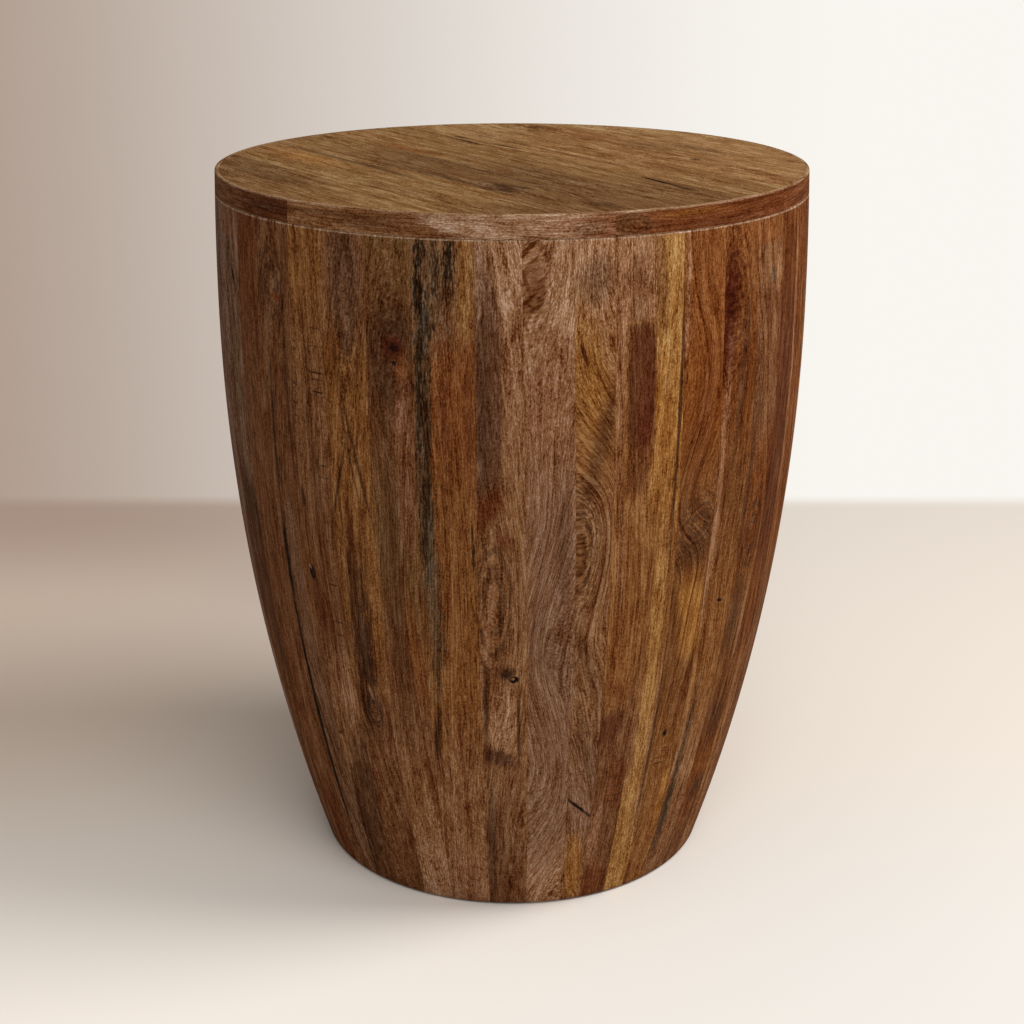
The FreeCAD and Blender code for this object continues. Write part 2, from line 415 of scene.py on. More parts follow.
def use_group(group, place, numbers):
    """A node of a group: its outputs as fields, by name."""
    node = place.tree.nodes.new("ShaderNodeGroup")
    node.node_tree = group
    feed(node, {"Place": place, **numbers})
    return {socket.name: Field(place.tree, socket) for socket in node.outputs}


def scaled_shift(colour, amount, weights):
    """A noise colour as a shift to either side, as far as the amount says."""
    centred = stretch(colour, weights, tuple(-weight / 2 for weight in weights))
    return derived("VectorMath", {0: centred, 3: amount}, operation="SCALE")


def warp_grain(place, given, shift):
    """The place as a grown tree bends it: slow wander, quick ripple and a steady slant."""
    slow = noise(place, (1 / 60, 1 / 60, 1 / 210), shift, 1.0, 0.5, "Color")
    quick = noise(place, (1 / 12, 1 / 12, 1 / 55), shift, 2.0, 0.55, "Color")
    wander = scaled_shift(slow, given["Wander"], (4, 0.6, 0))
    ripple = scaled_shift(quick, given["Ripple"], (1, 0.8, 0))
    slant = combine(split(place)[2] * given["Slant"])
    return move(move(place, slant), move(wander, ripple))


def ring_count(warped, given):
    """How many growth rings lie between a place and the pith, which may tilt in the plank."""
    across, deep, along = split(warped)
    across = across - given["Pith across"] - along * given["Tilt across"]
    deep = deep - given["Pith deep"] - along * given["Tilt deep"]
    return maths("SQRT", across * across + deep * deep) / given["Ring"] + given["Seed"]


def grain_group():
    """Growth rings, fibres, pores, mottle and curl, from a place in the plank."""
    tree, given = open_group("wood_grain", (
        "Pith across", "Pith deep", "Tilt across", "Tilt deep", "Ring", "Wander", "Ripple", "Slant",
        "Seed"))
    shift = combine(*[given["Seed"] * step for step in SEED_SHIFTS])
    warped = warp_grain(given["Place"], given, shift)
    rings = ring_count(warped, given)
    return close_group(tree, {
        "Bands": line_noise(rings),
        "Lines": line_noise(rings * LINES_PER_BAND),
        "Fibre": ramp(noise(warped, (1.05, 1.05, 1 / 18), shift, 2.0, 0.6), 0.3, 0.7),
        "Pores": ramp(noise(warped, (1.2, 1.2, 1 / 6), shift, 1.0, 0.6), 0.55, 0.7),
        "Mottle": noise(warped, (1 / 8, 1 / 8, 1 / 42), shift, 3.0, 0.55),
        "Curl": noise(warped, (1 / 20, 1 / 20, 1 / 7), shift, 2.0, 0.5),
        "Streak": noise(warped, (1 / 2.6, 1 / 2.6, 1 / 110), shift, 2.0, 0.55),
        "Speck": ramp(noise(warped, (1.1, 1.1, 1 / 1.7), shift, 1.0, 0.5), 0.3, 0.7)})


def spot_group():
    """An oval on the face: its mask, fine lines that follow its edge, and how it parts the grain."""
    tree, given = open_group("wood_spot", (
        "Across", "Along", "Half width", "Half length", "Tilt", "Softness", "Wobble", "Parting", "Power",
        "Fray", "Shear"))
    place = given["Place"]
    x, _, z = split(place)
    across = x - given["Across"]
    along = z - given["Along"]
    cosine = maths("COSINE", given["Tilt"])
    sine = maths("SINE", given["Tilt"])
    wide = across * cosine + along * sine
    tall = along * cosine - across * sine
    wide_share = wide / given["Half width"]
    tall_share = tall / given["Half length"]
    power = given["Power"]
    distance = (abs(wide_share) ** power + abs(tall_share) ** power) ** maths("DIVIDE", 1, power)
    rough = noise(place, (1 / 3, 1 / 3, 1 / 14), detail=3.0, roughness=0.65)
    fine = noise(place, (0.8, 0.8, 1 / 13), detail=2.0, roughness=0.65)
    edge = distance + (rough - 0.5) * given["Wobble"] * 4 + (fine - 0.46) * given["Fray"]
    softness = given["Softness"]
    fall = maths("EXPONENT", (wide_share * wide_share + tall_share * tall_share) * -0.5)
    return close_group(tree, {
        "Mask": fade(edge, maths("SUBTRACT", 1, softness), softness + 1),
        "Lines": ramp(line_noise(edge * given["Half width"] / 2.2), 0.42, 0.56),
        "Push": (along * given["Shear"] - wide * given["Parting"]) * fall})


def saw_group():
    """Short dark ticks across the grain, left by the saw, inside an oval."""
    tree, given = open_group("saw_ticks", ("Across", "Along", "Half width", "Half length", "Pitch"))
    place = given["Place"]
    x, _, z = split(place)
    wide = abs((x - given["Across"]) / given["Half width"])
    tall = abs((z - given["Along"]) / given["Half length"])
    crossing = line_noise((x * 0.12 + z) / given["Pitch"], 0.0, 0.5)
    tick = fade(abs(crossing - 0.5), 0.01, 0.06)
    uneven = ramp(noise(place, (1 / 4, 1 / 4, 1 / 5), detail=1.0), 0.38, 0.5)
    return close_group(tree, {"Mask": fade(wide, 0.75, 1.0) * fade(tall, 0.8, 1.0) * tick * uneven})


GRAIN = grain_group()
SPOT = spot_group()
SAW = saw_group()

# Tones of the lacquered wood, as the screen shows them
TONES = dict(
    straw=(142, 98, 50), gold=(134, 86, 38), honey=(116, 72, 35), amber=(112, 64, 29), tan=(120, 79, 47),
    fawn=(108, 68, 39), pink=(127, 85, 55), rose=(114, 71, 45), brown=(99, 60, 33), russet=(94, 49, 23),
    chestnut=(82, 43, 21), umber=(70, 41, 22), ash=(104, 72, 49), mauve=(82, 53, 39), walnut=(56, 33, 19),
    slate=(77, 59, 40), olive=(98, 65, 34), gum=(40, 25, 13), ink=(28, 19, 10), ember=(78, 30, 15),
    pith=(24, 12, 8), oat=(142, 106, 65), sand=(122, 87, 50), biscuit=(130, 92, 54), blush=(148, 112, 83),
    clay=(104, 71, 40), highlight_bone=(152, 119, 90), copper=(104, 55, 20), bronze=(101, 61, 29), rust=(97, 51, 19),
    garnet=(62, 22, 8), dusk=(108, 77, 58), haze=(126, 92, 70), cocoa=(84, 51, 31), peach=(145, 104, 72),
    taupe=(118, 81, 56), bark=(66, 44, 26))

# Marks: each has its azimuth in degrees, its height in mm, its half width and its half length

Mark = namedtuple("Mark", "group azimuth height numbers tone strength lines pushes")


def spot(azimuth, height, width, length, tone, strength=0.6, tilt=0, soft=0.5, wobble=0.3, parting=0.0,
         lines=0.0, power=2.0, fray=0.0, shear=0.0):
    """A patch, a streak or a part of a knot."""
    numbers = {"Half width": width, "Half length": length, "Tilt": radians(tilt), "Softness": soft,
               "Wobble": wobble, "Parting": parting, "Power": power, "Fray": fray, "Shear": shear}
    return Mark(SPOT, azimuth, height, numbers, tone, strength, lines, parting or shear)


def block(azimuth, height, width, length, tone, strength=0.8, tilt=0, soft=0.15, wobble=0.1):
    """A patch with straight sides."""
    return spot(azimuth, height, width, length, tone, strength, tilt, soft, wobble, power=5.0)


def stain(azimuth, height, width, length, tone="ink", strength=0.9, tilt=0, fray=5.0):
    """A stain broken up along the fibres, as spalted wood has."""
    return spot(azimuth, height, width, length, tone, strength, tilt, power=2.6, fray=fray)


def cut(azimuth, height, width=5.5, strength=0.9):
    """A short thin line across the grain, left by the saw."""
    return block(azimuth, height, width, 0.5, "gum", strength, 0, 0.4, 0.12)


def bend(azimuth, height, width, length, shear):
    """A place where the grain leans: above 0 its lines run down to the right."""
    return spot(azimuth, height, width, length, "tan", 0.0, shear=shear)


def eye(azimuth, height, width, length, tone, strength=0.5, tilt=0, parting=0.8):
    """Fine lines that run round a point, as where a branch lies under the face."""
    return spot(azimuth, height, width, length, tone, strength, tilt, 0.45, 0.12, parting, lines=1.0)


def knot(azimuth, height, width, length, halo="russet", core="pith", tilt=0):
    """A small knot: the grain parts round it, its halo is red and its heart dark."""
    return (spot(azimuth, height, width * 2.6, length * 2.6, halo, 0.6, tilt, 0.7, 0.25, 0.9, 0.35),
            spot(azimuth, height, width, length, core, 1.0, tilt, 0.3, 0.2))


def saw(azimuth, height, width, length, pitch=8.0, strength=0.8):
    """Ticks across the grain, a pitch apart in mm."""
    numbers = {"Half width": width, "Half length": length, "Pitch": pitch}
    return Mark(SAW, azimuth, height, numbers, "gum", strength, 0.0, False)


# Wood

PLAIN_FIGURE = dict(tilt=(0, 0), ring=5.0, wander=6.0, ripple=1.5, slant=0.0, contrast=1.0, curl=0.12,
                    pores=0.35, streaks=None)
DARK_GRAIN = (0.33, 0.17, 0.08)
LIGHT_GRAIN = (1.75, 2.35, 3.4)
DARK_PORE = (0.36, 0.24, 0.15)
TONE_DRIFT = 120.0
TONE_HOLD = 0.15
STREAK_FADE = (0.5, 0.66)
DARK_FADE = (-0.75, 0.05)
LIGHT_FADE = (-0.05, 0.75)


def look(tones, pith, marks=(), **figure):
    """How a piece looks: its tones from the top end down, its pith, marks and figure."""
    return {"tones": tones.split(), "pith": pith, "marks": marks, **PLAIN_FIGURE, **figure}


def mark_fields(place, mark, locate):
    """One mark's mask and shifts, at its place on the piece."""
    across, along = locate(mark.azimuth, mark.height)
    return use_group(mark.group, place, {"Across": across, "Along": along, **mark.numbers})


def parted_grain(place, marked):
    """The place as the marks' parting and shear move it sideways."""
    pushes = [fields["Push"] for mark, fields in marked if mark.pushes]
    if not pushes:
        return place
    return move(place, combine(sum(pushes[1:], pushes[0])))


def grain_fields(place, wood, seed):
    return use_group(GRAIN, place, {
        "Pith across": wood["pith"][0], "Pith deep": wood["pith"][1], "Tilt across": wood["tilt"][0],
        "Tilt deep": wood["tilt"][1], "Ring": wood["ring"], "Wander": wood["wander"],
        "Ripple": wood["ripple"], "Slant": wood["slant"], "Seed": seed})


def lengthwise_tones(place, grain, tones, start, length):
    """The tones from the lower end up, each fading into the next."""
    drift = grain["Mottle"] * TONE_DRIFT + (split(place)[2] - (TONE_DRIFT / 2 + start))
    base = linear(TONES[tones[-1]])
    steps = len(tones) - 1
    for step, tone in enumerate(reversed(tones[:-1])):
        low = length * (step + TONE_HOLD) / steps
        high = length * (step + 1 - TONE_HOLD) / steps
        base = blend(ramp(drift, low, high), base, linear(TONES[tone]))
    return base


def add_marks(base, marked):
    """Lays each mark's tone over the wood, less where the mark has lines."""
    for mark, fields in marked:
        if mark.strength:
            cover = fields["Mask"] * mark.strength
            if mark.lines:
                cover = cover * (fields["Lines"] * -mark.lines + 1)
            base = blend(cover, base, linear(TONES[mark.tone]))
    return base


def add_figure(base, grain, wood):
    """Darkens and lightens the tones as the rings, fibres and pores run."""
    contrast = wood["contrast"]
    weights = {"Bands": 0.95 * contrast, "Lines": 0.75 * contrast, "Fibre": 0.66, "Speck": 0.6,
               "Mottle": 1.3, "Streak": 1.1 * contrast, "Curl": wood["curl"]}
    terms = [(grain[label] - 0.5) * weight for label, weight in weights.items()]
    figure = sum(terms[1:], terms[0])
    colour = blend(ramp(figure, *DARK_FADE), tint(base, DARK_GRAIN), base)
    colour = blend(ramp(figure, *LIGHT_FADE), colour, tint(base, LIGHT_GRAIN))
    return blend(grain["Pores"] * wood["pores"], colour, tint(colour, DARK_PORE))


def finish_wood(shader, colour, grain):
    """A satin lacquer over the colour, and the fibres and pores in relief."""
    fibre = grain["Fibre"]
    pores = grain["Pores"]
    feed(shader, {
        "Base Color": colour, "Roughness": fibre * 0.3 + 0.34, "IOR": 1.45, "Specular IOR Level": 0.0,
        "Coat Weight": pores * -0.03 + 0.05, "Coat Roughness": 0.36, "Coat IOR": 1.45,
        "Normal": relief(fibre * 0.5 - pores * 0.6, strength=0.4, distance=0.0003)})


def wood_material(name, wood, locate, length, seed, start=0.0):
    """Finished solid wood, whose tones run along the length from the start."""
    material, tree, shader = new_material(name)
    place = stretch(source(tree, "Attribute", {}, "Vector", attribute_name="grain"), (MM, MM, MM))
    marked = [(mark, mark_fields(place, mark, locate)) for mark in wood["marks"]]
    grain = grain_fields(parted_grain(place, marked), wood, seed)
    base = lengthwise_tones(place, grain, wood["tones"], start, length)
    if wood["streaks"]:
        tone, strength = wood["streaks"]
        base = blend(ramp(grain["Streak"], *STREAK_FADE, 0.0, strength), base, linear(TONES[tone]))
    base = add_marks(base, marked)
    finish_wood(shader, add_figure(base, grain, wood), grain)
    return material


# How each stave in front looks, by its number from the left

STAVE_LOOKS = {
    1: look("ash ash cocoa brown brown", (50, -30), wander=12, ripple=4, marks=(
        block(-65, 532, 17, 12, "rose", 0.7), *knot(-62.8, 492, 2.4, 8, "umber", "ink", 25),
        spot(-61.2, 500, 4, 26, "pink", 0.5, 0, 0.6), spot(-64, 320, 14, 26, "walnut", 0.6, 20, 0.8, 0.5),
        spot(-61, 190, 8, 22, "walnut", 0.5, 10, 0.8, 0.5), spot(-66, 430, 4, 70, "umber", 0.5, 0, 0.8))),
    2: look("russet brown brown fawn russet", (60, 0), ring=4, wander=8, marks=(
        spot(-57, 528, 13, 20, "russet", 0.8, 0, 0.4), spot(-58, 150, 8, 60, "russet", 0.6, 0, 0.7),
        spot(-57, 36, 12, 40, "russet", 0.9))),
    3: look("brown brown brown brown fawn", (-45, -20), wander=12, ripple=3, marks=(
        eye(-48, 498, 15, 30, "walnut", 0.7), spot(-47, 488, 7, 3, "russet", 0.9, 0, 0.6),
        block(-46.2, 175, 9, 170, "ash", 0.6, 1.2), spot(-49.4, 385, 1.5, 55, "ink", 0.8, -1, 0.7, 0.6),
        spot(-49.6, 285, 2.4, 40, "ink", 0.95, 0, 0.6, 0.6),
        spot(-49.2, 150, 2.0, 120, "ink", 1.0, 1.2, 0.4), spot(-44.5, 430, 1.5, 90, "umber", 0.9, 1, 0.6),
        spot(-44.6, 250, 1.2, 60, "honey", 0.7, 0, 0.6))),
    4: look("honey fawn brown tan brown", (70, -10), ring=4, wander=7, ripple=2, marks=(
        saw(-42.2, 400, 3, 74, 5, 0.7), saw(-42.3, 190, 3, 60, 7, 0.7), cut(-36.9, 472, 5, 0.6),
        cut(-36.7, 459, 5, 0.5), cut(-36.8, 440, 6.2, 1.0), cut(-36.6, 435, 5, 0.7),
        cut(-36.5, 426, 5.4, 1.0), cut(-36.4, 371, 3.4), cut(-36.2, 362, 4.5, 0.7), cut(-36.6, 277, 4),
        cut(-36.6, 246, 4.6, 0.8), cut(-36.4, 235, 4.2), cut(-36.8, 226, 3.6, 0.7),
        spot(-42.3, 343, 2.0, 8, "ink", 0.95, 0, 0.6, 0.8),
        spot(-40.6, 255, 7, 30, "chestnut", 0.8, 12, 0.7), spot(-42.2, 283, 3.4, 6.5, "pith", 1.0, 8, 0.3),
        # The first mark below, a small pink spot in the dark knot hole, is a painted glint: a painted
        # highlight.
        spot(-42.6, 287, 1.2, 2.2, "pink", 0.9, 20, 0.4), block(-37.2, 188, 9, 34, "pink", 0.8, 3, 0.35),
        spot(-39, 75, 18, 84, "umber", 0.85, -12, 0.5, 0.4),
        spot(-38.4, 370, 4, 40, "umber", 0.5, 4, 0.8, 0.5),
        spot(-39.5, 330, 12, 40, "brown", 0.4, 0, 0.8))),
    5: look("fawn honey honey brown brown", (-55, -20), ring=4, wander=5, ripple=2, pores=0.6, marks=(
        spot(-30, 512, 13, 42, "mauve", 0.5, 3), eye(-30, 500, 12, 66, "umber", 0.8, 0, 0.5),
        spot(-32.9, 362, 1.3, 36, "umber", 0.95, -15, 0.5, 0.2),
        spot(-28.5, 376, 1.3, 54, "umber", 0.95, 12, 0.5, 0.2),
        spot(-30.1, 382, 1.0, 46, "umber", 0.7, 9, 0.5, 0.2),
        spot(-31.2, 306, 3.0, 34, "chestnut", 0.95, 0, 0.6),
        spot(-32.4, 300, 1.0, 50, "umber", 0.7, 4, 0.6), spot(-29.6, 290, 1.0, 50, "umber", 0.6, -4, 0.6),
        stain(-31.4, 235, 11, 74, "umber", 0.85, -2, 2.5), stain(-30.8, 215, 7, 46, "walnut", 0.7, -2, 3.0),
        eye(-30.5, 174, 9, 16, "walnut", 0.9), spot(-26.1, 158, 0.9, 46, "pink", 0.95, 0, 0.5, 0.2),
        spot(-30.8, 193, 1.2, 7, "pink", 0.9, 15), spot(-34.4, 480, 1.0, 10, "pink", 0.8),
        spot(-29, 110, 12, 30, "fawn", 0.5, 0, 0.8))),
    6: look("olive brown olive brown tan peach", (-50, 5), ring=4.5, streaks=("fawn", 0.5), marks=(
        eye(-21, 462, 17, 46, "umber", 0.7, 0, 0.6), spot(-21, 460, 17, 36, "umber", 0.8, 0, 0.7, 0.2),
        spot(-20.6, 478, 9, 12, "walnut", 0.5, 0, 0.8), spot(-19.2, 449, 5, 12, "amber", 0.75, 0, 0.8),
        spot(-21, 438, 7, 7, "umber", 0.8, 0, 0.8, 0.4), spot(-20.7, 466, 7, 7, "ember", 0.9, 0, 0.8),
        spot(-20.5, 466, 3.6, 3.6, "pith", 0.95, 0, 0.8),
        spot(-20.5, 455, 1.7, 1.9, "pith", 1.0, 0, 0.3, 0.1), spot(-24.2, 450, 1.2, 36, "umber", 0.95, 8),
        block(-19.2, 380, 6, 58, "rose", 0.8, 0, 0.4, 0.3), spot(-19.2, 232, 5, 40, "amber", 0.8, 5, 0.7),
        spot(-22.4, 300, 7, 130, "umber", 0.55, 0, 0.6, 0.5),
        spot(-18.5, 116, 3, 26, "russet", 0.8, 4, 0.7))),
    7: look("tan amber honey honey tan pink", (60, 5), ring=4.5, wander=4, ripple=1.2,
            streaks=("russet", 0.45), marks=(
        block(-14, 508, 17, 34, "slate", 0.55, 0, 0.5, 0.4), block(-8, 515, 5, 40, "straw", 0.5, 0, 0.5),
        stain(-16, 533, 4, 14), stain(-10.6, 526, 4.5, 24, "ink", 0.95, -3),
        stain(-13, 520, 3, 20, "ink", 0.7), stain(-16.2, 508, 4, 14), stain(-15, 488, 5, 22, "ink", 0.9, 3),
        block(-15.6, 395, 6, 92, "slate", 0.7, -0.6, 0.3, 0.3), stain(-16, 440, 3.6, 44, "ink", 0.85, -1),
        stain(-14.8, 400, 3, 60, "gum", 0.6, -1), spot(-15.2, 300, 5.4, 54, "slate", 0.7, -1, 0.5, 0.4),
        stain(-15.4, 340, 4, 40, "gum", 0.8, -1), stain(-14.6, 240, 4.4, 50, "slate", 0.8, -3),
        spot(-16, 162, 2.6, 24, "umber", 1.0, -6), stain(-11.7, 415, 4, 60, "russet"),
        stain(-7.6, 420, 4, 60, "russet", 0.7), stain(-6.9, 322, 1.4, 16),
        spot(-10.6, 120, 1.3, 76, "russet", 0.7, 2, 0.6), spot(-13.4, 90, 1.4, 60, "pink", 0.7, 0, 0.6))),
    8: look("peach tan tan tan brown", (60, -24), ring=4.5, wander=10, ripple=4, curl=0.3, marks=(
        block(-4.1, 430, 9.4, 72, "cocoa", 0.9, 0.6, 0.3, 0.3),
        spot(-4.8, 410, 4, 56, "walnut", 0.5, 0, 0.8, 0.6), spot(-4.6, 512, 6, 26, "mauve", 0.5, 8, 0.8),
        block(-0.2, 440, 6, 60, "pink", 0.6, 0, 0.4, 0.2), spot(-4.4, 352, 8, 18, "russet", 1.0, -30),
        spot(-1.8, 328, 8, 8, "russet", 0.8, -42, 0.7, 0.4), eye(-3.4, 280, 16, 56, "umber", 0.8, 0, 0.7),
        spot(-4.2, 268, 3.4, 34, "pink", 0.9, -4, 0.6), spot(-2.4, 224, 7, 6, "chestnut", 0.6, 20, 0.7),
        spot(-1.9, 181, 9.5, 33, "peach", 0.75, -4, 0.25, 0.15), spot(-2.6, 146, 13, 7, "cocoa", 1.0, -14),
        spot(-5.2, 205, 2.2, 26, "umber", 0.8, 0, 0.6), spot(1.4, 172, 1.3, 34, "umber", 0.95),
        spot(-5.4, 185, 2.0, 40, "umber", 0.7, 0, 0.6), spot(-5, 66, 3, 60, "walnut", 0.8, 0, 0.7, 0.5),
        spot(-2.4, 60, 14, 76, "cocoa", 0.35, -6, 0.4), spot(-0.9, 221.5, 6, 4, "walnut", 1.0, 30, 0.6),
        spot(0.4, 216.5, 3.6, 2.7, "pith", 1.0, 28, 0.25, 0.15),
        spot(0.2, 217.2, 1.3, 0.9, "tan", 1.0, 28, 0.4, 0.1))),
    9: look("peach pink taupe taupe taupe peach", (70, 0), wander=16, ripple=2.5, slant=-0.12, pores=0.5,
            contrast=0.8, marks=(
        bend(7, 190, 26, 64, 0.4), bend(8, 60, 26, 50, -0.25), eye(3.6, 510, 18, 44, "fawn", 0.8, 0, 0.9),
        spot(2.5, 512, 1.5, 9, "russet", 1.0, 18, 0.4), spot(4.0, 512, 5, 12, "brown", 0.8, 0, 0.6),
        spot(9.5, 320, 5, 60, "umber", 0.5, 0, 0.9, 0.6), spot(7.2, 235, 12, 56, "ash", 0.7, 30, 0.8, 0.5),
        spot(3.2, 300, 2, 80, "pink", 0.6, 0, 0.6))),
    10: look("peach honey tan tan taupe tan", (-50, -10), ring=4.5, wander=12, ripple=3, pores=0.6,
             slant=0.16, marks=(
        bend(14, 400, 26, 60, 0.5), spot(14, 512, 12, 18, "umber", 0.55, -30, 0.6),
        spot(13.0, 456, 10, 42, "gold", 0.7, 8, 0.7), spot(12.4, 463, 1.6, 9, "chestnut", 1.0, 16, 0.35),
        spot(15.8, 400, 6, 50, "umber", 0.6, -14, 0.8, 0.5), eye(11.6, 317, 20, 50, "umber", 0.85, 0, 0.9),
        spot(11, 318, 7, 30, "tan", 0.7, 0, 0.7), spot(15, 225, 7, 50, "umber", 0.5, 20, 0.8, 0.6),
        spot(16.5, 150, 4, 60, "umber", 0.5, 12, 0.8, 0.6),
        spot(15.6, 96, 1.2, 16, "pith", 1.0, 44, 0.6, 0.5),
        block(16.2, 34, 6.4, 33, "gold", 0.8, 3, 0.3, 0.2))),
    11: look("tan honey honey brown brown", (60, 8), ring=4, wander=4, marks=(
        block(21.5, 515, 17, 31, "peach", 0.6, 0, 0.2), block(22, 483, 13, 1.0, "straw", 0.6, 0, 0.3),
        spot(22.4, 508, 8, 27, "brown", 0.55), block(22.9, 436, 10.4, 46, "chestnut", 1.0, 0, 0.2, 0.15),
        spot(24, 408, 6, 30, "ember", 0.5, 0, 0.9), block(18.9, 450, 2.6, 90, "pink", 0.6, 0, 0.4),
        spot(22.5, 372, 9, 14, "chestnut", 0.7, 0, 0.8, 0.5),
        spot(25.4, 366, 1.6, 14, "straw", 0.9, 0, 0.6), spot(20.5, 300, 3, 60, "pink", 0.5, 4, 0.8),
        spot(22, 230, 13, 40, "amber", 0.45), spot(21.7, 168, 9.5, 14, "chestnut", 1.0, -20, 0.4, 0.25),
        block(24.5, 112, 9, 22, "russet", 0.8, 0, 0.3, 0.3), saw(24.5, 112, 9, 20, 9, 0.6),
        block(20.8, 62, 4.4, 30, "pink", 0.8, 0, 0.3), spot(22, 14, 13, 18, "russet", 1.0, -15))),
    12: look("straw gold honey tan straw", (-60, 5), wander=4, contrast=0.7, streaks=("fawn", 0.4),
             pores=0.2, marks=(
        spot(28.4, 490, 9, 60, "straw", 0.9, 8, 0.6), spot(26.2, 515, 5, 40, "brown", 0.7, 4),
        spot(30.8, 400, 1.3, 170, "umber", 1.0, -0.6), spot(32.6, 190, 1.3, 130, "umber", 0.9, -0.9),
        spot(29, 330, 5, 40, "honey", 0.6, 0, 0.8), block(29.6, 205, 5.5, 110, "straw", 0.8, 0.8, 0.4, 0.3),
        block(29, 60, 7, 60, "straw", 0.8, 0.6, 0.4, 0.2))),
    13: look("amber copper bronze bronze honey honey", (55, -20), ring=4.5, wander=7, ripple=2,
             streaks=("russet", 0.35), marks=(
        bend(37, 400, 26, 50, -0.35), spot(31.9, 505, 1.4, 50, "pink", 0.95, -1, 0.4),
        eye(37, 325, 24, 34, "umber", 1.0, -40, 0.7), spot(37, 308, 11, 16, "umber", 0.6, -50, 0.8),
        block(38, 250, 12, 34, "gold", 0.85, 8, 0.35, 0.2),
        spot(36, 149, 1.8, 2.8, "pith", 1.0, 0, 0.6, 0.6), saw(36, 128, 7, 8, 6, 0.9),
        block(39.4, 85, 3, 30, "gold", 0.9, 0, 0.3), spot(36.5, 410, 7, 44, "russet", 0.6, -8, 0.8))),
    14: look("amber rust bronze honey tan fawn", (50, 5), ring=4.5, marks=(
        eye(43, 490, 20, 52, "chestnut", 0.9, 0, 0.9), stain(41.8, 486, 9, 42, "garnet", 1.0, -4, 2.5),
        spot(41.6, 452, 3, 14, "ember", 0.8, 0, 0.8), block(41.9, 345, 3.6, 100, "pink", 0.6, -0.6, 0.4),
        spot(46, 430, 5, 76, "umber", 0.6, -4, 0.7, 0.5), spot(46, 255, 2.8, 1.7, "pith", 1.0, -20, 0.4),
        spot(43, 105, 3, 66, "slate", 0.9, -2, 0.8, 0.7), spot(43, 64, 3.4, 28, "ink", 0.7, 0, 0.9, 0.6))),
    15: look("fawn brown rust bronze rust brown", (56, -20), wander=8, ripple=2, marks=(
        block(54, 534, 16, 11, "amber"), spot(54.8, 499, 2.6, 7, "slate", 1.0),
        block(57.2, 500, 4, 20, "pink", 1.0, -6, 0.25), spot(50.8, 350, 3, 60, "umber", 0.8, -4, 0.8, 0.5),
        eye(54.5, 300, 17, 36, "umber", 0.9, 0, 0.5), spot(52.4, 232, 8, 28, "umber", 0.8, 0, 0.7),
        spot(56.6, 220, 3, 36, "pink", 0.7, 0, 0.7), spot(55, 140, 14, 22, "umber", 0.8, 0, 0.8, 0.5),
        spot(55, 74, 10, 10, "umber", 0.9, -15, 0.7))),
    16: look("rust chestnut chestnut rust honey tan", (-50, 5), ring=4.5, marks=(
        spot(61.5, 420, 9, 110, "chestnut", 0.8, 0, 0.8),
        spot(65, 330, 2.4, 90, "umber", 0.9, -1, 0.7, 0.5), spot(62, 120, 10, 90, "tan", 0.6, 0, 0.6))),
    17: look("rust rust rust brown brown fawn", (60, 0), streaks=("rose", 0.35), marks=(
        block(66.4, 440, 2.2, 100, "pink", 0.7, 0, 0.4),)),
    18: look("brown honey brown fawn", (50, 5), ring=4.5, wander=8),
    42: look("dusk dusk dusk haze umber", (50, 0), wander=8, marks=(
        spot(-74, 500, 10, 60, "mauve", 0.5, 0, 0.8),)),
}


# The staves behind: their tones and their piths, in turn

HIDDEN_TONES = ("fawn tan brown fawn", "honey amber brown honey", "rose brown umber rose",
                "gold honey honey gold", "chestnut russet brown brown", "ash ash fawn tan")
HIDDEN_PITHS = ((60, 5), (8, -35), (-55, 0), (40, -25))
LOWEST_MARK = 110
MARK_SPAN = 340
STREAK_TOP = 520


def hidden_marks(number):
    """A dark streak, and here and there a knot, a stain or a lighter strip."""
    middle = degrees(stave_middle(number - 1))
    height = LOWEST_MARK + (number * 97) % MARK_SPAN
    marks = (spot(middle + 1.6, STREAK_TOP - height * 0.6, 1.2, 70, "umber", 0.85, 0, 0.6, 0.4),)
    if number % 3 == 0:
        marks += (eye(middle, height, 15, 42, "umber", 0.8), *knot(middle - 0.6, height, 2.2, 3.4))
    if number % 4 == 1:
        marks += (stain(middle - 2, STREAK_TOP - height * 0.5, 5, 64, "gum", 0.6),)
    if number % 5 == 2:
        marks += (block(middle + 1, height, 7, 70, "pink", 0.6, 0, 0.4, 0.3),)
    return marks


def hidden_look(number):
    """A stave that the photo hides: its tones and figure follow from its number."""
    return look(
        HIDDEN_TONES[(number * 5 + number // 7) % len(HIDDEN_TONES)],
        HIDDEN_PITHS[(number * 3) % len(HIDDEN_PITHS)], hidden_marks(number),
        ring=4 + (number % 3) * 0.6, wander=6 + (number * 7) % 9, ripple=1.5 + (number % 4) * 0.6,
        tilt=(0, 0.03 * (number % 3)))


# The boards. A mark's place is mm across, toward the back right, and along, toward the front right

